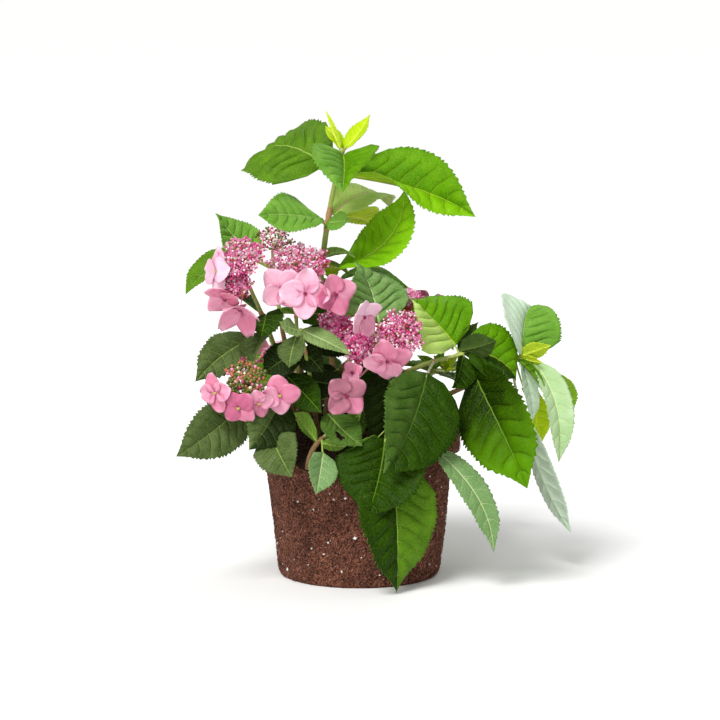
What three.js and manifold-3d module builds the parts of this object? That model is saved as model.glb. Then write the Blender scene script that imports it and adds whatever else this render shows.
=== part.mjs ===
// Lacecap hydrangea shrub on its bare root ball, in millimetres.
// The origin is the centre of the root ball's flat underside and +Z is up.
// Headings are degrees about +Z: 0 is the plant's right, 90 its rear, -90 its front.
import * as THREE from 'three';
import { mergeVertices } from 'three/addons/utils/BufferGeometryUtils.js';
import Module from 'manifold-3d';

const wasm = await Module();
wasm.setup();

// Root ball
const BALL_FOOT = 63.5;
const BALL_SHOULDER = 76.5;
const BALL_LIP = 82.6;
const LIP_FOOT = 103;
const LIP_TOP = 131;
const SOIL_TOP = 129;
const TORN_TOP = 95;
const BALL_SIDES = 28;

// Growth
const GAP = 0.3;
const LEAF_THICK = 1.2;
const LEAF_STEPS = [0, 0.14, 0.38, 0.66, 0.88, 1];
const MIDDLE_LEAF_STEPS = [0, 0.2, 0.52, 0.84, 1];
const SMALL_LEAF_STEPS = [0, 0.3, 0.7, 1];
const MIDDLE_LEAF = 78;
const SMALL_LEAF = 40;
const STALK_THICK = 2.4;
const FLORET_THICK = 1;
const FLORET_STALK = 1.7;
const RAY_THICK = 1.5;
const BEND = 1.4;
const SUNK = 0.985;

const FOLIAGE = { young: 0xa9c832, fresh: 0x5d9a24, mid: 0x4b7a33, dull: 0x3c5a30, pale: 0x9dbb98 };
const CANE = 0x7a6a3c;
const PEAT = 0x5d3a30;

// One row a shoot: foot on the soil (x, y), elbow, tip, thickness at foot and tip, bare share.
const SHOOTS = {
  tall: { foot: [-34, 8], elbow: [-38, 8, 250], tip: [-13, 2, 346], thick: [7.4, 3.2], bare: 0.5 },
  rear_left: { foot: [-46, 14], elbow: [-66, 8, 200], tip: [-70, 4, 264], thick: [5.4, 2.6], bare: 0.6 },
  left_head: { foot: [-50, -14], elbow: [-64, -28, 190], tip: [-90, -52, 248], thick: [5.6, 3], bare: 0.56 },
  middle_head: { foot: [-38, -4], elbow: [-52, -20, 180], tip: [-50, -38, 240], thick: [5, 2.6], bare: 0.6 },
  rosette: { foot: [-32, -30], elbow: [-38, -46, 170], tip: [-46, -64, 208], thick: [4.6, 2.4], bare: 0.4 },
  low_left: { foot: [-58, -34], elbow: [-56, -46, 176], tip: [-84, -58, 160], thick: [5, 2.8], bare: 0.3 },
  right_head: { foot: [-26, -14], elbow: [-30, -34, 185], tip: [32, -46, 198], thick: [5.8, 2.8], bare: 0.42 },
  right_branch: { foot: [-5, -10], elbow: [20, -24, 172], tip: [84, -34, 184], thick: [6.6, 3], bare: 0.22 },
  far_right: { foot: [8, 6], elbow: [70, -4, 140], tip: [131, -4, 178], thick: [6, 2.6], bare: 0.7 },
  front_right: { foot: [34, -46], elbow: [28, -66, 170], tip: [28, -62, 108], thick: [5.4, 3], bare: 0.35 },
  front_left: { foot: [-40, -58], elbow: [-42, -64, 116], tip: [-20, -58, 126], thick: [6, 3], bare: 0.35 },
  rear_high: { foot: [-18, 30], elbow: [-26, 52, 190], tip: [-22, 70, 232], thick: [6, 2.8], bare: 0.45 },
  rear_right: { foot: [18, 26], elbow: [34, 44, 180], tip: [46, 62, 200], thick: [6, 2.8], bare: 0.45 },
  rear_low: { foot: [0, 46], elbow: [4, 92, 176], tip: [6, 122, 128], thick: [5.6, 2.8], bare: 0.4 },
  rear_left_low: { foot: [-42, 36], elbow: [-52, 74, 178], tip: [-64, 92, 158], thick: [5.6, 2.8], bare: 0.4 },
  rear_right_low: { foot: [40, 30], elbow: [60, 62, 168], tip: [74, 92, 150], thick: [5.6, 2.8], bare: 0.4 },
};

// One row a leaf: share along the shoot, its stalk's length, heading and rise,
// then the blade's heading, rise, length, width, droop, roll, fold, sweep, twist and tone.
const LEAVES = {
  tall: [
    [0.998, 1.6, 190, 10, 150, 60, 32, 9, -14, -50, 30, 0, 0, 'young'],
    [0.992, 2.1, 20, 24, 25, 40, 35, 22, -25, -10, 14, 0, 0, 'young'],
    [0.985, 2.6, 82, 8, 148, 58, 26, 15, 22, 0, 16, -10, 25, 'young'],
    [0.97, 3, -60, -10, -85, -18, 56, 64, 20, 7, 36, -12, -16, 'fresh'],
    [0.915, 13, -15, -26, 10, -10, 109, 65, 16, -12, 38, -52, -62, 'fresh'],
    [0.915, 11, -164, 12, 160, 36, 92, 80, 108, 46, -5, -49, -28, 'fresh'],
    [0.73, 4, 20, 5, 31, 40, 75, 39, 93, -33, 8, 34, 36, 'mid'],
    [0.7, 20, 60, 10, 51, -2, 54, 36, 24, 22, 8, 20, 0, 'young'],
    [0.68, 12, -112, 36, -147, 12, 56, 44, 14, 9, 12, -21, 62, 'mid'],
    [0.68, 9, -88, 35, -51, 4, 29, 18, -10, -38, 10, 0, -35, 'mid'],
    [0.575, 4, -140, -28, -133, 4, 26, 13, -24, -43, 10, -10, 38, 'mid'],
    [0.575, 3, -114, -38, -27, 29, 34, 18, 59, 13, 10, -17, 22, 'mid'],
    [0.575, 4, 92, -60, 17, -21, 27, 16, 25, 0, 16, 0, 0, 'fresh'],
    [0.54, 14, -18, -12, 5, 16, 90, 59, -82, -4, 10, -15, -62, 'fresh'],
  ],
  rear_left: [
    [0.87, 17, -158, 37, 154, 34, 51, 37, -28, 62, 12, 50, -37, 'mid'],
    [0.87, 21, -164, 30, -166, -6, 64, 41, 47, 21, 16, 18, -13, 'mid'],
  ],
  left_head: [
    [0.74, 6, 88, 0, 158, 31, 37, 23, 0, -20, 14, -11, 36, 'mid'],
    [0.74, 4, -8, 0, -92, -14, 31, 31, 40, -30, 10, -16, 55, 'dull'],
    [0.62, 4, -140, -7, -108, -31, 34, 33, 22, -14, 24, -5, -23, 'dull'],
    [0.62, 13, 135, -23, -146, -17, 68, 36, 26, 12, 10, 4, 60, 'dull'],
  ],
  middle_head: [
    [0.66, 5, -10, 0, -5, -14, 44, 28, 22, -60, 12, 0, 0, 'dull'],
    [0.78, 4, -30, 20, -20, 12, 34, 24, 40, -50, 10, 0, 0, 'dull'],
  ],
  rosette: [
    [1, 2, 80, -24, -26, -19, 47, 20, 4, -35, 10, -3, 18, 'pale'],
    [1, 3, 80, -40, -134, 15, 24, 18, -20, 24, 10, -7, 55, 'pale'],
    [0.97, 4, -155, -32, -119, -54, 30, 24, -6, -25, 14, 23, 43, 'mid'],
    [0.76, 9, 128, 2, -166, -28, 34, 30, 6, 44, 12, 8, 17, 'dull'],
    [0.76, 8, 118, 2, -31, -28, 26, 22, 24, -64, 18, 0, -18, 'dull'],
    [0.5, 12, 100, -9, -12, -7, 38, 22, -4, -70, 10, -12, -10, 'dull'],
  ],
  low_left: [
    [0.45, 18, -40, 72, -29, -39, 46, 27, -10, -27, 18, -27, -34, 'dull'],
    [0.8, 19, 154, -44, -136, -31, 78, 46, 0, 84, 10, -33, 4, 'dull'],
    [0.5, 9, -80, -20, -111, -40, 55, 40, 0, 45, 14, -33, 15, 'dull'],
    [0.34, 38, -106, -34, -72, -26, 44, 38, 25, -22, 18, 27, -40, 'mid'],
  ],
  right_head: [
    [0.85, 19, -84, 70, 112, 64, 54, 60, 11, 14, 10, 50, -25, 'pale'],
    [0.85, 36, 77, 44, 53, 47, 37, 37, 58, -70, 12, -5, 30, 'fresh'],
    [0.52, 6, 175, -30, 178, -32, 42, 28, 24, 70, 10, 0, 0, 'dull'],
    [0.52, 6, 20, -30, 12, -40, 36, 26, 20, -70, 10, 0, 0, 'dull'],
    [0.5, 31, -42, -41, -170, -80, 42, 21, -14, -60, 10, -12, -6, 'fresh'],
  ],
  right_branch: [
    [0.97, 9, 120, 50, 174, 49, 53, 74, 11, 60, 14, -7, -62, 'fresh'],
    [0.6, 17, -155, 19, -101, -74, 74, 47, 2, 17, 16, -24, 50, 'dull'],
    [0.8, 22, -107, -17, -115, -56, 95, 73, -17, 43, 19, -19, 35, 'dull'],
    [0.98, 17, 10, -52, -66, -39, 111, 68, 27, -78, 13, 30, 14, 'dull'],
    [1, 5, 70, 34, 8, -8, 51, 60, 57, -46, 14, 10, 7, 'dull'],
    [1, 5, 150, 30, -31, 13, 35, 22, -10, 70, 16, 0, 14, 'dull'],
    [1, 10, 120, 14, 30, 40, 29, 19, -16, 70, 10, 12, 0, 'dull'],
    [0.97, 3, -30, 0, -121, -68, 31, 30, -38, 68, 34, 4, 10, 'dull'],
  ],
  far_right: [
    [0.99, 1, 0, 50, 79, 71, 60, 63, 76, -62, 28, -10, 55, 'pale'],
    [1, 2, -96, 20, -29, 20, 28, 16, -4, 62, 14, 3, -10, 'young'],
    [1, 2, -96, -24, -41, -11, 21, 9, -14, 64, 10, 12, 0, 'young'],
    [0.98, 3, -72, -27, -49, -27, 40, 16, 30, 58, 15, 0, 18, 'dull'],
    [0.98, 4, 0, -60, -62, -51, 50, 26, 38, 42, 10, 0, -22, 'pale'],
    [1, 12, -21, -20, -50, -40, 89, 28, 68, -8, 30, -24, 0, 'pale'],
    [1, 24, 32, -37, 19, -41, 47, 29, 22, 19, 15, 5, 38, 'fresh'],
    [0.96, 25, 41, -68, 30, -63, 50, 37, 17, -36, 14, -29, -30, 'young'],
    [0.98, 2, 86, -22, -153, 45, 19, 11, -18, 48, 10, 4, 6, 'fresh'],
    [0.93, 39, 56, -68, -2, -76, 114, 46, -20, 10, 9, -6, 34, 'pale'],
  ],
  front_right: [
    [0.7, 14, -149, -49, -102, -62, 66, 70, 4, 3, 8, -44, 32, 'dull'],
    [1, 8, -100, -38, -79, -70, 104, 68, 27, -4, 7, 0, 47, 'mid'],
    [0.6, 36, -1, -38, -14, -37, 100, 26, 52, -18, 8, 6, -56, 'pale'],
    [0.6, 20, 170, -46, -140, -36, 34, 20, -18, -50, 10, -36, -24, 'fresh'],
  ],
  front_left: [
    [0.75, 19, -86, -24, -102, -53, 36, 28, 6, 42, 20, -6, 6, 'pale'],
    [0.6, 3, 58, 57, 142, 43, 32, 27, 8, -49, 10, -6, -30, 'mid'],
    [1, 15, 143, 64, -48, -35, 43, 32, -10, -4, 8, 18, -36, 'dull'],
    [0.75, 6, -85, -21, -2, -16, 19, 12, -18, 66, 12, 6, 5, 'mid'],
  ],
};

// Hidden-side shoots grow pairs of leaves by rule: bearing, first rise, longest leaf, seed.
const REAR = {
  rear_high: { bearing: 100, rise: 22, longest: 62, shares: [0.62, 0.82, 0.99, 0.5], seed: 11 },
  rear_right: { bearing: 55, rise: 12, longest: 66, shares: [0.66, 0.96], seed: 23 },
  rear_low: { bearing: 88, rise: -8, longest: 67, shares: [0.58, 0.8, 0.99], seed: 37 },
  rear_left_low: { bearing: 148, rise: 4, longest: 74, shares: [0.62, 0.94], seed: 41 },
  rear_right_low: { bearing: 42, rise: 0, longest: 76, shares: [0.62, 0.94], seed: 59 },
};
const REAR_TONES = ['mid', 'dull', 'fresh', 'dull', 'mid', 'fresh'];

// One row a flower head: shoot, centre, facing heading and rise, spread, depth, lumps, seed.
const HEADS = [
  ['left_head', [-92, -62, 266], -100, 40, 19, 8, 7, 3],
  ['left_head', [-96, -64, 245], -100, 15, 12, 7, 5, 23],
  ['middle_head', [-48, -44, 258], -92, 52, 27, 8, 9, 5],
  ['rear_left', [-67, 0, 274], -90, 45, 16, 8, 6, 7],
  ['low_left', [-90, -74, 172], -100, 36, 17, 9, 8, 9],
  ['right_head', [32, -65, 205], -84, 20, 20, 8, 9, 13],
  ['right_head', [-20, -55, 211], -105, 25, 13, 7, 6, 15],
  ['right_head', [-1, -62, 196], -90, 20, 14, 7, 6, 17],
  ['right_head', [41, -14, 228], -90, 40, 7, 6, 4, 21],
  ['rear_left_low', [-66, 98, 170], 125, 55, 22, 9, 7, 19],
  ['rear_right', [52, 74, 212], 60, 55, 20, 9, 7, 21],
];

// One row a sterile floret: shoot, centre, facing heading and rise, width, spin, cup.
const FLORETS = [
  ['left_head', [-112, -56, 253], -150, 4, 42, 8, -0.1],
  ['left_head', [-105, -66, 232], -112, -42, 36, 34, 0.3],
  ['left_head', [-93, -68, 224], -98, -50, 38, 24, 0.7],
  ['middle_head', [-61, -60, 240], -100, -8, 38, 45, -0.05],
  ['middle_head', [-42, -71, 237], -88, 4, 41, -5, 0.06],
  ['middle_head', [-18, -68, 236], -68, 0, 36, 20, 0.1],
  ['right_head', [4, -75, 219], -40, -14, 35, 30, 0.25],
  ['right_head', [22, -88, 186], -90, -34, 41, 10, -0.15],
  ['right_head', [-10, -75, 157], -82, -10, 38, 40, 0.1],
  ['right_head', [-5, -67, 174], -110, 10, 19, 30, 0.1],
  ['low_left', [-112, -80, 160], -128, -8, 33, 12, -0.08],
  ['low_left', [-94, -86, 149], -104, -16, 32, 40, -0.1],
  ['low_left', [-78, -84, 152], -80, -14, 25, 20, -0.1],
  ['low_left', [-62, -80, 158], -84, -6, 34, 8, -0.06],
  ['rear_left_low', [-84, 112, 160], 130, 0, 34, 10, -0.1],
  ['rear_left_low', [-62, 120, 160], 100, 4, 36, 40, -0.1],
  ['rear_right', [66, 86, 204], 55, 10, 34, 15, -0.1],
  ['rear_right', [46, 96, 208], 90, 12, 34, 40, -0.1],
];

const rad = THREE.MathUtils.degToRad;
const mix = (a, b, t) => a + (b - a) * t;
const smooth = (a, b, x) => THREE.MathUtils.smoothstep(x, a, b);

// A repeatable row of numbers between 0 and 1.
function seeded(seed) {
  let state = seed * 7919;
  const next = () => {
    state = (state * 16807) % 2147483647;
    return state / 2147483647;
  };
  next();
  return next;
}

// A unit vector from a heading and a rise.
function aim(heading, rise) {
  const h = rad(heading);
  const r = rad(rise);
  return new THREE.Vector3(Math.cos(r) * Math.cos(h), Math.cos(r) * Math.sin(h), Math.sin(r));
}

// A closed geometry becomes a solid that can be joined and cut.
function solid(geometry) {
  const bare = geometry.clone();
  bare.deleteAttribute('normal');
  bare.deleteAttribute('uv');
  const merged = mergeVertices(bare, 1e-4);
  const vertProperties = new Float32Array(merged.attributes.position.array);
  const triVerts = new Uint32Array(merged.index.array);
  return new wasm.Manifold(new wasm.Mesh({ numProp: 3, vertProperties, triVerts }));
}

// Moves every vertex of a geometry to where the rule puts it.
function shaped(geometry, rule) {
  const place = geometry.attributes.position;
  const point = new THREE.Vector3();
  for (let i = 0; i < place.count; i += 1) {
    point.fromBufferAttribute(place, i);
    rule(point);
    place.setXYZ(i, point.x, point.y, point.z);
  }
  return geometry;
}

// The soil is broken away at the front, where its top lies lower.
function soilHeight(x, y) {
  return mix(TORN_TOP, SOIL_TOP, smooth(-58, -10, y)) + 0.8 * Math.sin(x * 0.19 + 1) * Math.cos(y * 0.17);
}

// A root ball that has slipped out of its pot, with the rim's print around the top.
function rootBall(grow) {
  const profile = [
    [0, 0], [BALL_FOOT, 0], [BALL_FOOT + 1.8, 1.8], [69, 35], [72.8, 70], [BALL_SHOULDER, LIP_FOOT - 1],
    [BALL_LIP, LIP_FOOT], [BALL_LIP + 0.2, LIP_TOP - 2], [BALL_LIP - 3, LIP_TOP], [57, SOIL_TOP],
    [31, SOIL_TOP], [0, SOIL_TOP],
  ].map(([r, z]) => new THREE.Vector2(r, z));
  const lathe = new THREE.LatheGeometry(profile, BALL_SIDES);
  return shaped(lathe, (p) => {
    const height = p.y;
    let r = Math.hypot(p.x, p.z);
    const angle = Math.atan2(-p.z, p.x);
    const front = 1 - smooth(0.6, 1.25, Math.abs(angle + Math.PI / 2) > Math.PI
      ? 2 * Math.PI - Math.abs(angle + Math.PI / 2) : Math.abs(angle + Math.PI / 2));
    let z = height;
    if (r > 60 && height > 90) {
      const torn = height > LIP_TOP - 3 ? TORN_TOP + (height - LIP_TOP) * 0.6 : height - 12;
      z = mix(height, torn, front);
      r = mix(r, Math.min(r, 77) - (height > LIP_TOP - 3 ? 2.5 : 0.5), front);
    }
    if (r > 60 && height > 5) r += 0.7 * Math.sin(5 * angle + height * 0.05) + 0.5 * Math.sin(9 * angle - height * 0.08);
    if (r <= 60 && height > 90) z = soilHeight(r * Math.cos(angle), r * Math.sin(angle));
    if (r > 1) r += grow;
    z += height > 90 ? grow : 0;
    p.set(r * Math.cos(angle), r * Math.sin(angle), z);
  });
}

// A shoot's centre line.
function shootCurve(name) {
  const { foot, elbow, tip } = SHOOTS[name];
  const start = new THREE.Vector3(foot[0], foot[1], soilHeight(foot[0], foot[1]) - 5);
  return new THREE.QuadraticBezierCurve3(start, new THREE.Vector3(...elbow), new THREE.Vector3(...tip));
}

// A tapering limb along a curve, between two shares of it.
function limb(curve, from, to, thickFrom, thickTo, sides, steps) {
  const tube = new THREE.CylinderGeometry(1, 1, 1, sides, steps);
  const hint = new THREE.Vector3(0.31, 0.9, 0.29);
  return shaped(tube, (p) => {
    const share = p.y + 0.5;
    const t = mix(from, to, share);
    const along = curve.getTangent(t);
    const across = new THREE.Vector3().crossVectors(along, hint).normalize();
    const beside = new THREE.Vector3().crossVectors(across, along);
    const thick = mix(thickFrom, thickTo, share) / 2;
    const x = p.x * thick;
    const z = p.z * thick;
    p.copy(curve.getPoint(t)).addScaledVector(across, x).addScaledVector(beside, z);
  });
}

// Half of a blade's width at a share of its length, as a share of its greatest half width.
function bladeOutline(u) {
  const a = 0.6;
  const b = 0.86;
  const top = (a / (a + b)) ** a * (b / (a + b)) ** b;
  return (u ** a * (1 - u) ** b) / top;
}

// The midrib of a blade: points and directions at even steps.
function midrib(row, steps) {
  const [, , , , heading, rise, length, , droop, , , sweep] = row;
  const points = [new THREE.Vector3()];
  for (let i = 0; i < steps; i += 1) {
    const u = ((i + 0.5) / steps) ** BEND;
    const step = aim(heading + sweep * u, rise - droop * u).multiplyScalar(length / steps);
    points.push(points[i].clone().add(step));
  }
  return points;
}

// A thin slab in steps, whose two broad faces are creased along the same diagonals.
function slab(columns, rows) {
  const box = new THREE.BoxGeometry(1, 1, 1, columns, rows, 1);
  const back = box.groups[5];
  for (let i = back.start; i < back.start + back.count; i += 6) {
    const [a, b, d, , c] = box.index.array.slice(i, i + 6);
    box.index.array.set([a, b, c, a, c, d], i);
  }
  return box;
}

// One leaf blade as a thin closed solid, folded along its midrib.
function blade(base, row) {
  const [, , , , heading, rise, length, width, droop, roll, fold, sweep, twist] = row;
  const shares = length < SMALL_LEAF ? SMALL_LEAF_STEPS : length < MIDDLE_LEAF ? MIDDLE_LEAF_STEPS : LEAF_STEPS;
  const rib = midrib(row, 24);
  return shaped(slab(shares.length - 1, 2), (p) => {
    const u = shares[Math.round((p.x + 0.5) * (shares.length - 1))];
    const v = -2 * p.y;
    const bent = u ** BEND;
    const a = rad(rise - droop * bent);
    const h = rad(heading + sweep * bent);
    const q = rad(roll + twist * u);
    const side = new THREE.Vector3(Math.sin(h), -Math.cos(h), 0);
    const up = new THREE.Vector3(-Math.sin(a) * Math.cos(h), -Math.sin(a) * Math.sin(h), Math.cos(a));
    const across = side.clone().multiplyScalar(Math.cos(q)).addScaledVector(up, Math.sin(q));
    const face = up.clone().multiplyScalar(Math.cos(q)).addScaledVector(side, -Math.sin(q));
    const half = Math.max((width / 2) * bladeOutline(u), u < 0.5 ? 1 : 0.6);
    const index = Math.min(23, Math.floor(u * 24));
    const middle = rib[index].clone().lerp(rib[index + 1], u * 24 - index);
    const lift = half * Math.abs(v) * Math.sin(rad(fold)) + p.z * LEAF_THICK;
    p.copy(base).add(middle).addScaledVector(across, half * v * Math.cos(rad(fold))).addScaledVector(face, lift);
  });
}

// A leaf: its stalk and its blade, ready to be joined to the shoot.
function leaf(curve, row) {
  const [share, stalk, stalkHeading, stalkRise, heading, rise] = row;
  const node = curve.getPoint(share);
  const base = node.clone().addScaledVector(aim(stalkHeading, stalkRise), stalk);
  const end = base.clone().addScaledVector(aim(heading, rise), 4);
  const root = curve.getPoint(Math.min(share, SUNK));
  const line = new THREE.QuadraticBezierCurve3(root, base, end);
  return [solid(limb(line, 0, 1, STALK_THICK, STALK_THICK * 0.7, 3, 1)), solid(blade(base, row))];
}

// Pairs of leaves on a hidden-side shoot, each pair turned a quarter from the last.
function rearLeaves(name) {
  const { bearing, rise, longest, shares, seed } = REAR[name];
  const chance = seeded(seed);
  const rows = [];
  shares.forEach((share, pair) => {
    for (const turn of [0, 180]) {
      const heading = bearing + 90 * pair + 90 + turn + (chance() - 0.5) * 24;
      const inward = Math.cos(rad(heading - bearing)) < -0.3;
      const length = longest * (0.8 + 0.2 * chance());
      const lift = rise + (chance() - 0.5) * 16;
      const tone = REAR_TONES[Math.floor(chance() * REAR_TONES.length)];
      const droop = 35 + 30 * chance();
      const roll = (chance() - 0.5) * 30;
      const sweep = (chance() - 0.5) * 30;
      if (!inward) rows.push([share, 7, heading, lift, heading, lift, length, length * 0.62, droop, roll, 14, sweep, 0, tone]);
    }
  });
  return rows;
}

// A flower head: a lumpy cushion of tiny flowers on a stout ray from the shoot's tip.
function flowerHead(curve, row) {
  const [, centre, heading, rise, spread, depth, bunches, seed] = row;
  const chance = seeded(seed);
  const face = aim(heading, rise);
  const right = new THREE.Vector3().crossVectors(face, new THREE.Vector3(0, 0, 1)).normalize();
  const over = new THREE.Vector3().crossVectors(right, face);
  const middle = new THREE.Vector3(...centre);
  const source = curve.getPoint(SUNK);
  const line = new THREE.LineCurve3(source, middle.clone().addScaledVector(face, -depth * 0.2));
  const lumps = Array.from({ length: bunches }, () => 0.92 + 0.2 * chance());
  const cushion = shaped(new THREE.SphereGeometry(1, 2 * bunches, 4), (p) => {
    const { x, y, z } = p;
    const place = (Math.round((Math.atan2(z, x) / Math.PI) * bunches) + 2 * bunches) % (2 * bunches);
    const reach = spread * (place % 2 ? lumps[(place - 1) / 2] : 0.74);
    p.copy(middle)
      .addScaledVector(face, y * depth * 0.7 - depth * 0.2)
      .addScaledVector(right, x * reach)
      .addScaledVector(over, z * reach);
  });
  return [solid(cushion), solid(limb(line, 0, 1, RAY_THICK * 2, RAY_THICK * 2, 3, 1))];
}

// A sterile floret: four broad sepals as one dished plate on a slender stalk.
function floret(curve, row) {
  const [, centre, heading, rise, width, spin, cup] = row;
  const face = aim(heading, rise);
  const right = new THREE.Vector3().crossVectors(face, new THREE.Vector3(0, 0, 1)).normalize();
  const over = new THREE.Vector3().crossVectors(right, face);
  const middle = new THREE.Vector3(...centre);
  const lobes = [0.45, 0.98, 0.98];
  const plate = new THREE.CylinderGeometry(1, 1, 1, 12, 1);
  const sepals = shaped(plate, (p) => {
    const r = Math.hypot(p.x, p.z);
    const angle = Math.atan2(p.x, p.z);
    const notch = lobes[(Math.round(angle / (Math.PI / 6)) + 24) % 3];
    const reach = (width / 2) * r * notch;
    const turned = angle + rad(spin + 45);
    const lift = cup * (width / 2) * (r * notch) ** 2 + p.y * FLORET_THICK;
    p.copy(middle)
      .addScaledVector(right, reach * Math.sin(turned))
      .addScaledVector(over, reach * Math.cos(turned))
      .addScaledVector(face, lift);
  });
  const source = curve.getPoint(SUNK);
  const bend = middle.clone().addScaledVector(face, -Math.min(12, source.distanceTo(middle) * 0.4));
  const stalk = new THREE.QuadraticBezierCurve3(source, bend, middle);
  return [solid(sepals), solid(limb(stalk, 0, 1, FLORET_STALK, FLORET_STALK * 0.8, 3, 1))];
}

// The main body of a join, without any sliver that the join leaves beside it.
function largest(body) {
  return body.decompose().sort((a, b) => b.volume() - a.volume())[0];
}

// A solid becomes a named mesh.
function named(body, name, color, roughness) {
  const { vertProperties, triVerts } = body.getMesh();
  const geometry = new THREE.BufferGeometry();
  geometry.setAttribute('position', new THREE.BufferAttribute(new Float32Array(vertProperties), 3));
  geometry.setIndex(new THREE.BufferAttribute(new Uint32Array(triVerts), 1));
  geometry.computeVertexNormals();
  const mesh = new THREE.Mesh(geometry, new THREE.MeshStandardMaterial({ color, roughness, metalness: 0 }));
  mesh.name = name;
  return mesh;
}

const plant = new THREE.Group();
const around = solid(rootBall(GAP));
plant.add(named(solid(rootBall(0)), 'root_ball', PEAT, 0.95));

for (const name of Object.keys(SHOOTS)) {
  const curve = shootCurve(name);
  const { thick, bare } = SHOOTS[name];
  const atBare = mix(thick[0], thick[1], bare);
  const cane = solid(limb(curve, 0, bare, thick[0], atBare, 5, 3)).subtract(around);
  plant.add(named(cane, `${name}_cane`, CANE, 0.75));
  const start = bare + GAP / (curve.getLength() || 1) * 1.05;
  const pieces = [solid(limb(curve, start, 1, atBare, thick[1], 4, 3))];
  const rows = name in REAR ? rearLeaves(name) : LEAVES[name];
  for (const row of rows) pieces.push(...leaf(curve, row));
  for (const row of HEADS) if (row[0] === name) pieces.push(...flowerHead(curve, row));
  for (const row of FLORETS) if (row[0] === name) pieces.push(...floret(curve, row));
  const mass = largest(wasm.Manifold.union(pieces));
  const tone = rows.length ? rows[rows.length - 1][13] : 'mid';
  plant.add(named(mass, `${name}_foliage`, FOLIAGE[tone], 0.6));
}

export default plant;
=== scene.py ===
"""Lacecap hydrangea shrub on its bare root ball: bark, leaves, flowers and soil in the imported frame."""
from math import acos, atan2, ceil, cos, hypot, pi, radians, sin, sqrt

import bmesh
import bpy
import numpy as np
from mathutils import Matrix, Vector, noise


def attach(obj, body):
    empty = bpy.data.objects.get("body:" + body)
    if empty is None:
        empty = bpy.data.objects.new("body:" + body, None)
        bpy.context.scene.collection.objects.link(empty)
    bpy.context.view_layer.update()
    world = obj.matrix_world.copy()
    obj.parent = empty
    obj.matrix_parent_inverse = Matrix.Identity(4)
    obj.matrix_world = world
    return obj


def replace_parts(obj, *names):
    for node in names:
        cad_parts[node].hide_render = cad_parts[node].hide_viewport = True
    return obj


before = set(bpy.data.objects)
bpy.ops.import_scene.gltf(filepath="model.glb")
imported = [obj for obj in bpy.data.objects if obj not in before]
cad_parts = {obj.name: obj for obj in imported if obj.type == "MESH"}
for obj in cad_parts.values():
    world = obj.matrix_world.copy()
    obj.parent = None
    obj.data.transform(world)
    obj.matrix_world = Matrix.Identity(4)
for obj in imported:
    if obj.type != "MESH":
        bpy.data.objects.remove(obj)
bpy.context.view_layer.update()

# Named sizes in millimetres, the same as the source's.
BALL_FOOT = 63.5
BALL_SHOULDER = 76.5
BALL_LIP = 82.6
LIP_FOOT = 103
LIP_TOP = 131
SOIL_TOP = 129
TORN_TOP = 95
BEND = 1.4
RIB_STEPS = 24
# Sizes and counts that only this script has.
LEAF_DEPTH = 0.4
COLUMNS = np.array([0.0, 0.05, 0.18, 0.34, 0.5, 0.66, 0.8, 0.9, 1.0])  # shares from midrib to margin
CANE_RINGS = 64
SHOOT_END = 0.985
EYE_BEAD = 0.75
KNOT_BUDS = 13
KNOT_REACH = 4.6
FIBRES = 5200
SIDE_PERLITE = 240
SIDE_CRUMBS = 500
TOP_CRUMBS = 900
MM = 0.001
BODY = "root"

# Turns that spread things evenly round a centre, in radians.
GOLDEN_TURN = 2.399963
FIFTH_TURN = 1.2566
QUARTER_TURN = 1.5708

# One row a shoot: foot on the soil, elbow, tip, thickness at foot and tip, bare share.
SHOOTS = {
    "tall": [[-34, 8], [-38, 8, 250], [-13, 2, 346], [7.4, 3.2], 0.5],
    "rear_left": [[-46, 14], [-66, 8, 200], [-70, 4, 264], [5.4, 2.6], 0.6],
    "left_head": [[-50, -14], [-64, -28, 190], [-90, -52, 248], [5.6, 3], 0.56],
    "middle_head": [[-38, -4], [-52, -20, 180], [-50, -38, 240], [5, 2.6], 0.6],
    "rosette": [[-32, -30], [-38, -46, 170], [-46, -64, 208], [4.6, 2.4], 0.4],
    "low_left": [[-58, -34], [-56, -46, 176], [-84, -58, 160], [5, 2.8], 0.3],
    "right_head": [[-26, -14], [-30, -34, 185], [32, -46, 198], [5.8, 2.8], 0.42],
    "right_branch": [[-5, -10], [20, -24, 172], [84, -34, 184], [6.6, 3], 0.22],
    "far_right": [[8, 6], [70, -4, 140], [131, -4, 178], [6, 2.6], 0.7],
    "front_right": [[34, -46], [28, -66, 170], [28, -62, 108], [5.4, 3], 0.35],
    "front_left": [[-40, -58], [-42, -64, 116], [-20, -58, 126], [6, 3], 0.35],
    "rear_high": [[-18, 30], [-26, 52, 190], [-22, 70, 232], [6, 2.8], 0.45],
    "rear_right": [[18, 26], [34, 44, 180], [46, 62, 200], [6, 2.8], 0.45],
    "rear_low": [[0, 46], [4, 92, 176], [6, 122, 128], [5.6, 2.8], 0.4],
    "rear_left_low": [[-42, 36], [-52, 74, 178], [-64, 92, 158], [5.6, 2.8], 0.4],
    "rear_right_low": [[40, 30], [60, 62, 168], [74, 92, 150], [5.6, 2.8], 0.4],
}

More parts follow.
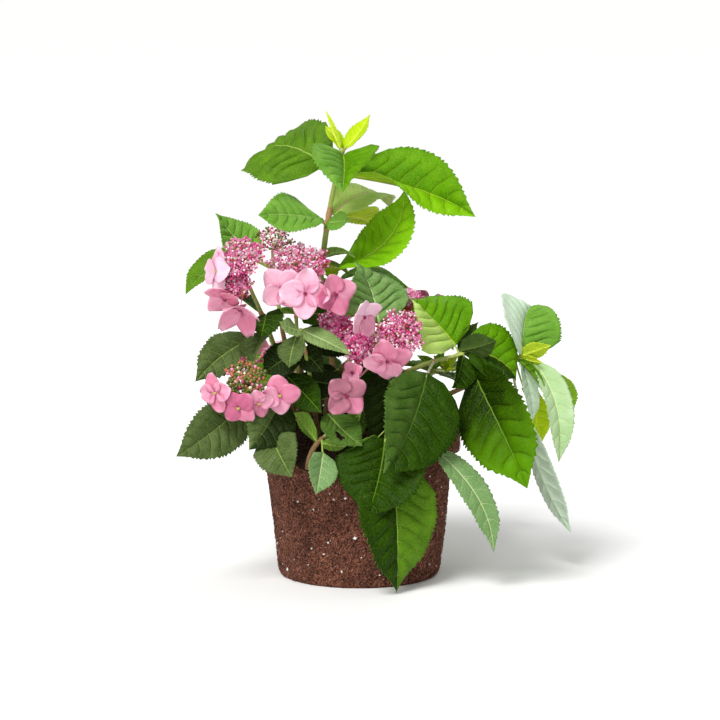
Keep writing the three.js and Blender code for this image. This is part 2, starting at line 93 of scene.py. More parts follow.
# One row a leaf: share along the shoot, its stalk's length, heading and rise,
# then the blade's heading, rise, length, width, droop, roll, fold, sweep and twist,
# and the tones of its plus side and its minus side, or one tone for both.
# Where a leaf's two tones differ, its lighter side is painted sheen and light falling on that half, and its
# darker side is painted shade.
LEAVES = {"tall": [
    [0.998, 1.6, 190, 10, 150, 60, 32, 9, -14, -50, 30, 0, 0, "young"],
    [0.992, 2.1, 20, 24, 25, 40, 35, 22, -25, -10, 14, 0, 0, "young"],
    [0.985, 2.6, 82, 8, 148, 58, 26, 15, 22, 0, 16, -10, 25, "young"],
    [0.97, 3, -60, -10, -85, -18, 56, 64, 20, 7, 36, -12, -16, "quilt lush"],
    [0.915, 13, -15, -26, 10, -10, 109, 65, 16, -12, 38, -52, -62, "lime fresh"],
    [0.915, 11, -164, 12, 160, 36, 92, 80, 108, 46, -5, -49, -28, "mid"],
    [0.73, 4, 20, 5, 31, 40, 75, 39, 93, -33, 8, 34, 36, "soft"],
    [0.7, 20, 60, 10, 51, -2, 54, 36, 24, 22, 8, 20, 0, "young"],
    [0.68, 12, -112, 36, -147, 12, 56, 44, 14, 9, 12, -21, 62, "quilt"],
    [0.68, 9, -88, 35, -51, 4, 29, 18, -10, -38, 10, 0, -35, "quilt"],
    [0.575, 4, -140, -28, -133, 4, 26, 13, -24, -43, 10, -10, 38, "quilt"],
    [0.575, 3, -114, -38, -27, 29, 34, 18, 59, 13, 10, -17, 22, "quilt"],
    [0.575, 4, 92, -60, 17, -21, 27, 16, 25, 0, 16, 0, 0, "mid"],
    [0.54, 14, -18, -12, 5, 16, 90, 59, -82, -4, 10, -15, -62, "lime"],
], "rear_left": [
    [0.87, 17, -158, 37, 154, 34, 51, 37, -28, 62, 12, 50, -37, "quilt"],
    [0.87, 21, -164, 30, -166, -6, 64, 41, 47, 21, 16, 18, -13, "mid"],
], "left_head": [
    [0.74, 6, 88, 0, 158, 31, 37, 23, 0, -20, 14, -11, 36, "deep"],
    [0.74, 4, -8, 0, -92, -14, 31, 31, 40, -30, 10, -16, 55, "deep"],
    [0.62, 4, -140, -7, -108, -31, 34, 33, 22, -14, 24, -5, -23, "dull"],
    [0.62, 13, 135, -23, -146, -17, 68, 36, 26, 12, 10, 4, 60, "dull"],
], "middle_head": [
    [0.66, 5, -10, 0, -5, -14, 44, 28, 22, -60, 12, 0, 0, "dusk"],
    [0.78, 4, -30, 20, -20, 12, 34, 24, 40, -50, 10, 0, 0, "deep"],
], "rosette": [
    [1, 2, 80, -24, -26, -19, 47, 20, 4, -35, 10, -3, 18, "sage"],
    [1, 3, 80, -40, -134, 15, 24, 18, -20, 24, 10, -7, 55, "sage"],
    [0.97, 4, -155, -32, -119, -54, 30, 24, -6, -25, 14, 23, 43, "dull"],
    [0.76, 9, 128, 2, -166, -28, 34, 30, 6, 44, 12, 8, 17, "dusk"],
    [0.76, 8, 118, 2, -31, -28, 26, 22, 24, -64, 18, 0, -18, "dusk"],
    [0.5, 12, 100, -9, -12, -7, 38, 22, -4, -70, 10, -12, -10, "dusk"],
], "low_left": [
    [0.45, 18, -40, 72, -29, -39, 46, 27, -10, -27, 18, -27, -34, "deep"],
    [0.8, 19, 154, -44, -136, -31, 78, 46, 0, 84, 10, -33, 4, "dull"],
    [0.5, 9, -80, -20, -111, -40, 55, 40, 0, 45, 14, -33, 15, "dull dusk"],
    [0.34, 38, -106, -34, -72, -26, 44, 38, 25, -22, 18, 27, -40, "dull"],
], "right_head": [
    [0.85, 19, -84, 70, 112, 64, 54, 60, 11, 14, 10, 50, -25, "pine"],
    [0.85, 36, 77, 44, 53, 47, 37, 37, 58, -70, 12, -5, 30, "lush"],
    [0.52, 6, 175, -30, 178, -32, 42, 28, 24, 70, 10, 0, 0, "dusk"],
    [0.52, 6, 20, -30, 12, -40, 36, 26, 20, -70, 10, 0, 0, "deep"],
    [0.5, 31, -42, -41, -170, -80, 42, 21, -14, -60, 10, -12, -6, "mid"],
], "right_branch": [
    [0.97, 9, 120, 50, 174, 49, 53, 74, 11, 60, 14, -7, -62, "lush soft"],
    [0.6, 17, -155, 19, -101, -74, 74, 47, 2, 17, 16, -24, 50, "dusk"],
    [0.8, 22, -107, -17, -115, -56, 95, 73, -17, 43, 19, -19, 35, "moss deep"],
    [0.98, 17, 10, -52, -66, -39, 111, 68, 27, -78, 13, 30, 14, "vivid"],
    [1, 5, 70, 34, 8, -8, 51, 60, 57, -46, 14, 10, 7, "deep lush"],
    [1, 5, 150, 30, -31, 13, 35, 22, -10, 70, 16, 0, 14, "dusk"],
    [1, 10, 120, 14, 30, 40, 29, 19, -16, 70, 10, 12, 0, "dusk"],
    [0.97, 3, -30, 0, -121, -68, 31, 30, -38, 68, 34, 4, 10, "deep"],
], "far_right": [
    [0.99, 1, 0, 50, 79, 71, 60, 63, 76, -62, 28, -10, 55, "quilt silver"],
    [1, 2, -96, 20, -29, 20, 28, 16, -4, 62, 14, 3, -10, "young"],
    [1, 2, -96, -24, -41, -11, 21, 9, -14, 64, 10, 12, 0, "young"],
    [0.98, 3, -72, -27, -49, -27, 40, 16, 30, 58, 15, 0, 18, "vivid mint"],
    [0.98, 4, 0, -60, -62, -51, 50, 26, 38, 42, 10, 0, -22, "silver"],
    [1, 12, -21, -20, -50, -40, 89, 28, 68, -8, 30, -24, 0, "mint"],
    [1, 24, 32, -37, 19, -41, 47, 29, 22, 19, 15, 5, 38, "fresh"],
    [0.96, 25, 41, -68, 30, -63, 50, 37, 17, -36, 14, -29, -30, "young"],
    [0.98, 2, 86, -22, -153, 45, 19, 11, -18, 48, 10, 4, 6, "fresh"],
    [0.93, 39, 56, -68, -2, -76, 114, 46, -20, 10, 9, -6, 34, "silver"],
], "front_right": [
    [0.7, 14, -149, -49, -102, -62, 66, 70, 4, 3, 8, -44, 32, "deep"],
    [1, 8, -100, -38, -79, -70, 104, 68, 27, -4, 7, 0, 47, "deep mid"],
    [0.6, 36, -1, -38, -14, -37, 100, 26, 52, -18, 8, 6, -56, "jade"],
    [0.6, 20, 170, -46, -140, -36, 34, 20, -18, -50, 10, -36, -24, "mid"],
], "front_left": [
    [0.75, 19, -86, -24, -102, -53, 36, 28, 6, 42, 20, -6, 6, "jade"],
    [0.6, 3, 58, 57, 142, 43, 32, 27, 8, -49, 10, -6, -30, "mid"],
    [1, 15, 143, 64, -48, -35, 43, 32, -10, -4, 8, 18, -36, "moss"],
    [0.75, 6, -85, -21, -2, -16, 19, 12, -18, 66, 12, 6, 5, "mid"],
]}

# Hidden-side shoots grow pairs of leaves by rule: bearing, first rise, longest leaf, seed, shares.
REAR = {
    "rear_high": [100, 22, 62, 11, [0.62, 0.82, 0.99, 0.5]],
    "rear_right": [55, 12, 66, 23, [0.66, 0.96]],
    "rear_low": [88, -8, 67, 37, [0.58, 0.8, 0.99]],
    "rear_left_low": [148, 4, 74, 41, [0.62, 0.94]],
    "rear_right_low": [42, 0, 76, 59, [0.62, 0.94]],
}
REAR_TONES = ["mid", "dull", "fresh", "dull", "mid", "fresh"]

# One row a flower head: shoot, centre, facing heading and rise, spread, depth,
# and how often each bud colour comes, in the order of BUDS.
HEADS = [
    ["left_head", [-92, -62, 266], -100, 40, 19, 8, [26, 42, 22, 4, 6, 0, 4]],
    ["left_head", [-96, -64, 245], -100, 15, 12, 7, [30, 40, 18, 5, 5, 0, 5]],
    ["middle_head", [-48, -44, 258], -92, 52, 27, 8, [24, 44, 24, 4, 6, 0, 4]],
    ["rear_left", [-67, 0, 274], -90, 45, 16, 8, [8, 22, 12, 6, 26, 20, 12]],
    ["low_left", [-90, -74, 172], -100, 36, 17, 9, [0, 4, 0, 4, 6, 62, 24]],
    ["right_head", [32, -65, 205], -84, 20, 20, 8, [28, 40, 18, 5, 6, 0, 6]],
    ["right_head", [-20, -55, 211], -105, 25, 13, 7, [38, 28, 10, 24, 0, 0, 0]],
    ["right_head", [-1, -62, 196], -90, 20, 14, 7, [38, 28, 12, 22, 0, 0, 0]],
    ["right_head", [41, -14, 228], -90, 40, 7, 6, [34, 34, 14, 14, 4, 0, 0]],
    ["rear_left_low", [-66, 98, 170], 125, 55, 22, 9, [28, 32, 20, 12, 8, 0, 0]],
    ["rear_right", [52, 74, 212], 60, 55, 20, 9, [26, 32, 18, 12, 12, 0, 0]],
]

# One row a sterile floret: shoot, centre, facing heading and rise, width, spin, cup and four petal tones.
FLORETS = [
    ["left_head", [-112, -56, 253], -150, 4, 42, 8, -0.1, "blush blush snow snow"],
    ["left_head", [-105, -66, 232], -112, -42, 36, 34, 0.3, "rose pink pink rose"],
    ["left_head", [-93, -68, 224], -98, -50, 38, 24, 0.7, "pink pink rose pink"],
    ["middle_head", [-61, -60, 240], -100, -8, 38, 45, -0.05, "blush blush pink blush"],
    ["middle_head", [-42, -71, 237], -88, 4, 41, -5, 0.06, "blush blush blush pink"],
    ["middle_head", [-18, -68, 236], -68, 0, 36, 20, 0.1, "rose deep rose pink"],
    ["right_head", [4, -75, 219], -40, -14, 35, 30, 0.25, "snow blush pink snow"],
    ["right_head", [22, -88, 186], -90, -34, 41, 10, -0.15, "rose pink pink rose"],
    ["right_head", [-10, -75, 157], -82, -10, 38, 40, 0.1, "dusty dusty rose dusty"],
    ["right_head", [-5, -67, 174], -110, 10, 19, 30, 0.1, "rose rose pink rose"],
    ["low_left", [-112, -80, 160], -128, -8, 33, 12, -0.08, "rose pink rose pink"],
    ["low_left", [-94, -86, 149], -104, -16, 32, 40, -0.1, "deep deep rose deep"],
    ["low_left", [-78, -84, 152], -80, -14, 25, 20, -0.1, "pink rose rose pink"],
    ["low_left", [-62, -80, 158], -84, -6, 34, 8, -0.06, "rose pink pink rose"],
    ["rear_left_low", [-84, 112, 160], 130, 0, 34, 10, -0.1, "pink blush pink rose"],
    ["rear_left_low", [-62, 120, 160], 100, 4, 36, 40, -0.1, "rose pink pink rose"],
    ["rear_right", [66, 86, 204], 55, 10, 34, 15, -0.1, "pink blush pink rose"],
    ["rear_right", [46, 96, 208], 90, 12, 34, 40, -0.1, "rose pink pink rose"],
]

# The heads, and the florets' eyes and stalks, that are green, by row.
GREEN_HEADS = (3, 4)
GREEN_EYES = (0, 10, 11, 12, 13)
GREEN_STALKS = (10, 11, 12, 13)

# Leaf tones: top colour, its lighter patches, underside and vein, as sRGB in hex.
TONES = {
    "young": "a6c802 cae016 aeca36 dce654",
    # The next tone is a bright young green lifted further: partly the leaf's own colour, partly painted glow
    # of light shining through the blade.
    "lime": "6eac00 84c006 92bc2e b8d242",
    "fresh": "508800 6aa404 86ae32 acc83c",
    "lush": "4a8000 649e04 709e26 a2c02e",
    # The next tone is painted light: its dark top colour paints the shade of leaves above over a blade's
    # base, and its light colour paints light shining through the blade at its tip.
    "vivid": "142a00 548800 628e1a 688e0a",
    "mid": "48720a 608e16 72963c 94b048",
    "soft": "aace5c c2de7a bad082 d0b092",
    "moss": "3a5a1a 587634 62843e 7c983c",
    "deep": "1a3400 2a4c00 54742c 608014",
    "dull": "405228 627444 6e8850 869e4a",
    # The next tone is a dark green darkened further: painted shade for leaves deep inside the plant.
    "dusk": "162308 233410 405624 526824",
    "quilt": "5e9228 7cac44 84a654 a0c068",
    "sage": "648044 8ea666 94ac70 b2c484",
    "pine": "5e863c 8aaa68 96b676 b2cc8c",
    "jade": "688e52 84a66c 9aba7e bed096",
    # The next two pale grey-greens are partly a blade's paler underside, partly painted sheen of the lamps
    # on it.
    "mint": "a8c890 c6dab6 c2d8aa ccdc9a",
    "silver": "bed4ba d6e6d0 cee4cc c6dcb8",
}

# Petal tones: body, rim and base. Then bud colours, and the other plain ones.
PETAL_TONES = {
    "blush": "f0b8cc f9d4e2 e086ac",
    "pink": "e69cb6 f3bed0 cc628e",
    "rose": "dc82a0 eca6be ba4874",
    "deep": "c66086 dc86a6 9a305c",
    "snow": "f6cee0 fbe4ee eaa0c4",
    "dusty": "ba7084 d08ea2 984864",
}
BUDS = {
    "bud_magenta": "e03c8e", "bud_pink": "f894c2", "bud_white": "ffe6ee", "bud_wine": "9e225c",
    "bud_cream": "f2dcc4", "bud_green": "6a702a", "bud_orange": "be7254",
}
PLAIN = {
    "eye_red": "96224a", "eye_green": "c4b660", "ray_red": "d06a48",
    "ray_green": "9ea854", "ray_pink": "e8a0b2", **BUDS,
}
# The petal colour of an open flower, where it isn't its bud's.
OPEN = {"bud_magenta": "bud_pink", "bud_wine": "bud_magenta", "bud_cream": "bud_white"}

# How strongly a leaf is quilted between its side veins, by its tone.
RELIEF = {
    "quilt": 1.6, "pine": 2.0, "moss": 1.3, "dull": 1.3, "dusk": 1.1, "lush": 1.3, "deep": 1.2, "sage": 1.3,
    "mid": 1.4, "fresh": 1.3, "lime": 1.5, "vivid": 1.3, "mint": 1.2, "silver": 1.1, "jade": 1.0,
}
PLAIN_RELIEF = 0.7


def srgb(colour):
    """A linear colour from sRGB, as six hex digits or as three numbers up to 255."""
    rgb = bytes.fromhex(colour) if isinstance(colour, str) else colour
    out = [((c / 255 + 0.055) / 1.055) ** 2.4 if c > 10 else c / 255 / 12.92 for c in rgb]
    return (*out, 1.0)


def mix(a, b, t):
    return a + (b - a) * t


def smooth(a, b, x):
    t = np.clip((x - a) / (b - a), 0.0, 1.0)
    return t * t * (3 - 2 * t)


def seeded(seed):
    """The source's repeatable row of numbers between 0 and 1."""
    state = [seed * 7919]

    def step():
        state[0] = state[0] * 16807 % 2147483647
        return state[0] / 2147483647

    step()
    return step


def aim(heading, rise):
    h, r = radians(heading), radians(rise)
    return np.array([cos(r) * cos(h), cos(r) * sin(h), sin(r)])


def unit(a):
    return a / np.linalg.norm(a, axis=-1, keepdims=True)


def around(x, y, turn):
    return x * cos(turn) + y * sin(turn)


def soil_height(x, y):
    return mix(TORN_TOP, SOIL_TOP, smooth(-58, -10, y)) + 0.8 * np.sin(x * 0.19 + 1) * np.cos(y * 0.17)


class Store:
    """Collects vertices and faces of many small shapes, then makes one mesh of them."""

    def __init__(self):
        self.places, self.faces, self.looks, self.smooth, self.materials = [], [], [], [], []
        self.maps = {"blade": [], "OFBake": []}
        self.count = 0

    def look(self, name):
        if name not in self.materials:
            self.materials.append(name)
        return self.materials.index(name)

    def add(self, places, faces, looks, blade=None, bake=None, rims=0):
        """Adds a shape. looks: a material number a face. blade, bake: a flat place a vertex.
        rims: how many faces, the last ones, aren't shaded smooth."""
        self.places.append(np.asarray(places, float))
        self.faces.extend([tuple(int(i) + self.count for i in f) for f in faces])
        self.looks.extend(looks)
        self.smooth.extend([True] * (len(faces) - rims) + [False] * rims)
        for key, flat in (("blade", blade), ("OFBake", bake)):
            self.maps[key].append(np.zeros((len(places), 2)) if flat is None else flat)
        self.count += len(places)

    def make(self, name, slot, maps=True):
        mesh = bpy.data.meshes.new(name)
        mesh.from_pydata((np.concatenate(self.places) * MM).tolist(), [], self.faces)
        for key in self.materials:
            mesh.materials.append(MATERIALS[key])
        mesh.polygons.foreach_set("material_index", self.looks)
        mesh.polygons.foreach_set("use_smooth", self.smooth)
        if maps:
            corners = np.empty(len(mesh.loops), dtype=np.int32)
            mesh.loops.foreach_get("vertex_index", corners)
            for key, data in self.maps.items():
                layer = mesh.uv_layers.new(name=key)
                layer.data.foreach_set("uv", np.concatenate(data)[corners].ravel())
        mesh.update()
        piece = put(name, mesh)
        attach(piece, BODY)
        return piece


SCENE = bpy.context.scene


def put(name, data, spot=(0, 0, 0)):
    """A new object of that data in the scene, at a spot in metres."""
    piece = bpy.data.objects.new(name, data)
    piece.location = spot
    SCENE.collection.objects.link(piece)
    return piece


# Materials
MATERIALS = {}


class Nodes:
    """A short way to build one material's nodes."""

    def __init__(self, name):
        self.material = bpy.data.materials.new(name)
        self.material.use_nodes = True
        self.tree = self.material.node_tree
        self.shader = self.tree.nodes["Principled BSDF"]
        MATERIALS[name] = self.material

    def set(self, socket, value):
        """Gives a socket a plain value, or links an output to it."""
        if isinstance(value, (int, float, tuple)):
            socket.default_value = value
        else:
            self.tree.links.new(value, socket)

    def new(self, kind, out, *numbered, **named):
        """One output of a new node. Its inputs, by number or name, and its settings get the values."""
        node = self.tree.nodes.new("ShaderNode" + kind)
        for key, value in (*named.items(), *numbered):
            if isinstance(key, int) or key in node.inputs:
                self.set(node.inputs[key], value)
            else:
                setattr(node, key, value)
        return node.outputs[out]

    def place(self, uv=None, kind="POINT", scale=(1, 1, 1), rotation=(0, 0, 0)):
        """Coordinates: a UV map by name, or the object's own metres."""
        source = self.new("UVMap", "UV", uv_map=uv) if uv else self.new("TexCoord", "Object")
        return self.new("Mapping", "Vector", vector_type=kind, Vector=source, Scale=scale, Rotation=rotation)

    def noise(self, vector, scale, detail=3.0, distortion=0.0):
        return self.new("TexNoise", "Fac", Vector=vector, Scale=scale, Detail=detail, Distortion=distortion)

    def ramp(self, factor, *stops):
        """A ramp through stops, each a place and a colour, where one number is a grey."""
        node = self.tree.nodes.new("ShaderNodeValToRGB")
        elements = node.color_ramp.elements
        while len(elements) < len(stops):
            elements.new(0.5)
        for element, (at, colour) in zip(elements, stops):
            element.position = at
            element.color = colour if isinstance(colour, tuple) else (colour, colour, colour, 1)
        self.set(node.inputs["Fac"], factor)
        return node.outputs["Color"]

    def blend(self, factor, a, b):
        return self.new("Mix", 2, (0, factor), (6, a), (7, b), data_type="RGBA")

    def maths(self, operation, a, b):
        return self.new("Math", 0, (0, a), (1, b), operation=operation)

    def bump(self, height, distance, strength):
        normal = self.new("Bump", "Normal", Height=height, Distance=distance, Strength=strength)
        self.set(self.shader.inputs["Normal"], normal)

    def finish(self, colour, rough, **values):
        for key, value in {"Base Color": colour, "Roughness": rough, **values}.items():
            self.set(self.shader.inputs[key.replace("_", " ")], value)


def leaf_materials():
    """A top, an underside, a midrib and a side vein for each leaf tone."""
    for tone, words in TONES.items():
        top, light, under, vein = words.split()
        for part, low, rough in (("top", top, 0.5), ("under", under, 0.65)):
            n = Nodes(f"leaf_{tone}_{part}")
            where = n.place("blade")
            factor = n.ramp(n.noise(where, 7.0, 4.0), (0.38, 0), (0.74, 0.75))
            # This tone runs from its dark colour at the blade's base to its light one at the tip: painted
            # shade under the leaves above, and painted glow of light through the blade.
            if tone == "vivid":
                y = n.new("SeparateXYZ", "Y", Vector=where)
                factor = n.ramp(n.maths("ADD", y, n.maths("MULTIPLY", factor, 0.2)), (0.42, 0), (1.12, 1))
            cells = n.new("TexVoronoi", "Distance", feature="DISTANCE_TO_EDGE", Vector=where, Scale=44.0)
            colour = n.blend(factor, srgb(low), srgb(light))
            colour = n.blend(n.ramp(cells, (0.0, 0.22), (0.1, 0)), colour, srgb(vein))
            n.bump(n.maths("ADD", n.maths("MULTIPLY", cells, 0.8), n.noise(where, 60.0, 2.0)), 0.0008, 0.6)
            n.finish(colour, rough, Specular_IOR_Level=0.07)
        for part, share in (("rib", 0.1), ("vein", 0.24)):
            colour = [mix(a, b, share) for a, b in zip(bytes.fromhex(vein), bytes.fromhex(top))]
            Nodes(f"leaf_{tone}_{part}").finish(srgb(colour), 0.55, Specular_IOR_Level=0.28)


def petal_materials():
    """Petals are paler at the rim and deeper at the eye, with fine streaks along them."""
    for tone, words in PETAL_TONES.items():
        body, rim, base = [srgb(word) for word in words.split()]
        n = Nodes(f"petal_{tone}")
        y = n.new("SeparateXYZ", "Y", Vector=n.new("UVMap", "UV", uv_map="blade"))
        along = n.ramp(y, (0.0, base), (0.22, body), (0.8, body), (1.0, rim))
        streaks = n.noise(n.place("blade", scale=(26, 1.6, 1)), 1.0, 2.0)
        colour = n.blend(n.ramp(streaks, (0.42, 0), (0.78, 0.55)), along, base)
        n.bump(streaks, 0.0004, 0.4)
        radius = (0.004, 0.0016, 0.002)
        n.finish(colour, 0.5, Subsurface_Weight=0.12, Sheen_Weight=0.15, Subsurface_Radius=radius)
    for name, colour in PLAIN.items():
        Nodes(name).finish(srgb(colour), 0.45)


def stem_materials():
    """Green young stems, reddish joints and brown bark, each with streaks along it."""
    for name, low, high, rough, depth in (
        ("cane_green", "869a3a", "b8c064", 0.5, 0.0003),
        ("cane_red", "b07654", "c69c68", 0.55, 0.0004),
        ("cane_bark", "684c2c", "9c7c4e", 0.8, 0.0009),
        ("stalk_green", "86a438", "b4c65c", 0.5, 0.0003),
        ("stalk_pale", "c4c496", "ded8b8", 0.5, 0.0003),
    ):
        n = Nodes(name)
        streaks = n.noise(n.place("blade", scale=(1.0, 0.16, 1)), 22.0, 4.0)
        spots = n.noise(n.place(), 420.0, 2.0)
        n.bump(n.maths("ADD", streaks, n.maths("MULTIPLY", spots, 0.5)), depth, 0.8)
        n.finish(n.blend(n.ramp(streaks, (0.34, 0), (0.66, 1)), srgb(low), srgb(high)), rough)


def soil_materials():
    """Coir and peat: short crossed fibres, dark pores and crumbs."""
    for name, dark, mean, light in (
        ("coir", "1b0c08", "704232", "c28870"),
        ("peat", "1e1410", "3e2a22", "604436"),
    ):
        n = Nodes(name)
        strands = None
        for turn, scale in ((0.5, 1.0), (-0.7, 1.3), (1.3, 0.9), (2.3, 1.1)):
            turns = (turn * 0.9, turn, turn * 1.7)
            where = n.place(kind="TEXTURE", scale=(scale, scale, 5.0), rotation=turns)
            ridge = n.noise(where, 900.0, 2.0, 0.6)
            strands = ridge if strands is None else n.maths("MAXIMUM", strands, ridge)
        broad = n.noise(n.place(), 60.0, 4.0)
        pores = n.noise(n.place(), 620.0, 3.0)
        colour = n.ramp(strands, (0.42, srgb(dark)), (0.6, srgb(mean)), (0.78, srgb(light)))
        colour = n.blend(n.ramp(pores, (0.53, 0), (0.64, 0.9)), colour, srgb(dark))
        colour = n.blend(n.ramp(broad, (0.45, 0), (0.75, 0.5)), colour, srgb(dark))
        height = n.maths("SUBTRACT", n.maths("MULTIPLY", strands, 1.2), n.maths("MULTIPLY", pores, 0.6))
        n.bump(height, 0.0016, 0.9)
        n.finish(colour, 0.95, Specular_IOR_Level=0.2)
    for name, low, high in (
        ("fibre_light", "905c46", "b0785e"),
        ("fibre_dark", "4e3028", "6c463a"),
        ("perlite", "e2ded6", "faf8f4"),
        ("crumb", "1e1410", "3e2a20"),
    ):
        n = Nodes(name)
        n.finish(n.blend(n.noise(n.place(), 800.0), srgb(low), srgb(high)), 0.9, Specular_IOR_Level=0.25)


# Leaves
def blade_outline(u):
    a, b = 0.6, 0.86
    top = (a / (a + b)) ** a * (b / (a + b)) ** b
    return u ** a * (1 - u) ** b / top


def rib_points(row):
    """The midrib's points from the blade's base, as the source steps them."""
    heading, rise, length, droop, sweep = row[4], row[5], row[6], row[8], row[11]
    points = [np.zeros(3)]
    for i in range(RIB_STEPS):
        u = ((i + 0.5) / RIB_STEPS) ** BEND
        points.append(points[-1] + aim(heading + sweep * u, rise - droop * u) * length / RIB_STEPS)
    return np.array(points)


def vein_rows(length):
    """Rows along a blade: shares, marks (-1, 2 and 1 across a side vein) and the veins' own shares."""
    pairs = 8 if length > 70 else 7 if length > 40 else 5
    starts = [(i / pairs) ** 1.1 for i in range(pairs + 1)]
    rows = [(0.0, 0)]
    for low, high in zip(starts, starts[1:]):
        rows += [(mix(low, high, t), 0) for t in ((0.14, 0.5, 0.86) if length > 40 else (0.2, 0.8))]
        rows += [(high, mark) for mark in (-1, 2, 1) if high < 1]
    shares, marks = np.array(rows + [(1.0, 0)]).T
    return shares, marks, np.array(starts)


def blade_grid(row, chance, relief, holes):
    """A blade's top and underside points, its faces' kinds and its flat places."""
    heading, rise, length, width, droop, roll, fold, sweep, twist = row[4:13]
    shares, marks, starts = vein_rows(length)
    v = np.concatenate([-COLUMNS[:0:-1], COLUMNS])
    side_share = np.abs(v)[None, :]
    beside = np.where(np.abs(marks) == 1, marks, 0)[:, None]
    along = shares[:, None] + beside * (0.26 / length) * (1 - 0.6 * side_share)
    number = np.arange(len(shares))[:, None]
    even = (number - beside * (1 - smooth(0.8, 1.0, side_share))) / (len(shares) - 1)
    even = mix(even, 0.5 - 0.5 * np.cos(np.pi * even), 0.3)
    reach = np.minimum(1, along / 0.1) * np.clip(1 - along, 0, 1) ** 0.75
    lean = min(0.38, width / 2 / length) * (0.72 * side_share + 0.6 * side_share ** 3)
    u = mix(np.clip(along + lean * reach, 0, 1), even, smooth(0.5, 1.0, side_share) * 0.5)
    tooth = np.where(number % 2 == 1, 1.0, -0.5) * (0.85 + 0.3 * np.sin(number * 2.7 + width))
    inner = ((u > 0.06) & (u < 0.97)) * (side_share > 0.99)
    u = np.clip(u + inner * np.where(tooth > 0, 0.6 / len(shares), 0), 0, 1)
    bent = u ** BEND
    a = np.radians(rise - droop * bent)
    h = np.radians(heading + sweep * bent)
    q = np.radians(roll + twist * u)[..., None]
    side = np.stack([np.sin(h), -np.cos(h), np.zeros_like(h)], axis=-1)
    up = np.stack([-np.sin(a) * np.cos(h), -np.sin(a) * np.sin(h), np.cos(a)], axis=-1)
    across = side * np.cos(q) + up * np.sin(q)
    face = up * np.cos(q) - side * np.sin(q)
    half = width / 2 * blade_outline(u) * (1 - 0.42 * smooth(0.74, 1.02, u))
    half = np.maximum(half, np.where(u < 0.5, 0.9, 0.2))
    steps = np.arange(RIB_STEPS + 1)
    middle = np.stack([np.interp(u * RIB_STEPS, steps, line) for line in rib_points(row).T], axis=-1)
    rib_half = np.minimum(0.55 * (1 - u) + 0.24, 0.3 * half)
    out = np.where(np.abs(side_share - COLUMNS[1]) < 1e-6, rib_half, half * side_share)
    out = out + inner * tooth * min(2.0, 0.022 * width + 0.5) * smooth(0.99, 0.8, u)
    wave = chance() * 6.28
    wave = u * (9 + 5 * chance()) + wave + (v > 0)[None, :] * 2.1
    ripple = 0.012 * width * side_share ** 2 * np.sin(wave)
    lift = half * side_share * sin(radians(fold)) + ripple
    place = np.interp(along, starts, np.arange(len(starts)))
    bulge = np.sqrt(np.clip(np.sin(np.pi * np.clip(place - np.floor(place), 0, 1)), 0, 1))
    fade = np.sin(np.pi * np.clip(side_share / 0.88, 0, 1) ** 0.8)
    lift = lift + relief * 0.036 * width * bulge * fade * (1 - smooth(0.85, 1, u))
    on_rib = side_share < 0.01
    lift = lift - on_rib * 0.3
    signed = np.sign(v)[None, :] * out
    top = middle + across * (signed * cos(radians(fold)))[..., None] + face * lift[..., None]
    on_vein = (np.abs(place - np.round(place)) < 0.01) * (side_share < 0.8)
    under = top - face * (LEAF_DEPTH + on_rib * 0.9 * (1 - u) + on_vein * 0.25)[..., None]
    kinds = np.zeros((len(shares) - 1, len(v) - 1), dtype=int)
    kinds[np.isin(marks[:-1], (-1, 2)), 2:-2] = 1
    kinds[:, len(COLUMNS) - 2:len(COLUMNS)] = 2
    for at, off, wide in holes:
        beyond = ((v[:-1] + v[1:]) / 2 - off) * width / 2
        kinds[np.hypot((u[:-1, :-1] - at) * length, beyond) < wide] = -1
    flat = np.stack([signed / 100, u * length / 100], axis=-1)
    return top, under, kinds, flat, v


def sheet(used):
    """A thin sheet's faces, two for each used cell in turn, then its rims and each rim's column."""
    cols = used.shape[1] + 1
    down = (used.shape[0] + 1) * cols
    padded = np.pad(used, 1)
    faces, rims, columns = [], [], []
    for k, j in np.argwhere(used).tolist():
        a, b = k * cols + j, (k + 1) * cols + j
        faces += [(a, a + 1, b + 1, b), (down + a, down + b, down + b + 1, down + a + 1)]
        for dk, dj, p, q in ((0, -1, a, b), (0, 1, b + 1, a + 1), (-1, 0, a + 1, a), (1, 0, b, b + 1)):
            if not padded[k + 1 + dk, j + 1 + dj]:
                rims.append((p, q, down + q, down + p))
                columns.append(j)
    return faces, rims, columns


def add_leaf(store, base, row, holes, chance, cell, cells):
    """One blade with both faces and its rim, in its own cell of the piece's flat map."""
    plus, minus = f"{row[13]} {row[13]}".split()[:2]
    top, under, kinds, flat, v = blade_grid(row, chance, RELIEF.get(plus, PLAIN_RELIEF), holes)
    rows, cols = top.shape[:2]
    shift = np.array([chance() * 7, 0])
    grid_u, grid_v = np.meshgrid(np.linspace(0.06, 0.94, cols), np.linspace(0.04, 0.96, rows))
    bake = []
    for number in (2 * cell, 2 * cell + 1):
        spots = np.stack([(number % cells + grid_u) / cells, (number // cells + grid_v) / cells], axis=-1)
        bake.append(spots.reshape(-1, 2))
    # Each half takes its side's tone; where the two differ, one half is painted light and sheen and the
    # other painted shade.
    tones = [plus if a + b > 0 else minus for a, b in zip(v, v[1:])]
    faces, rims, columns = sheet(kinds >= 0)
    looks = []
    for k, j in np.argwhere(kinds >= 0).tolist():
        for side in ("top", "under"):
            looks.append(store.look(f"leaf_{tones[j]}_{(side, 'vein', 'rib')[kinds[k, j]]}"))
    looks += [store.look(f"leaf_{tones[j]}_under") for j in columns]
    places = np.concatenate([top.reshape(-1, 3), under.reshape(-1, 3)]) + base
    blade = np.concatenate([flat.reshape(-1, 2)] * 2) + shift
    store.add(places, faces + rims, looks, blade, np.concatenate(bake), len(rims))


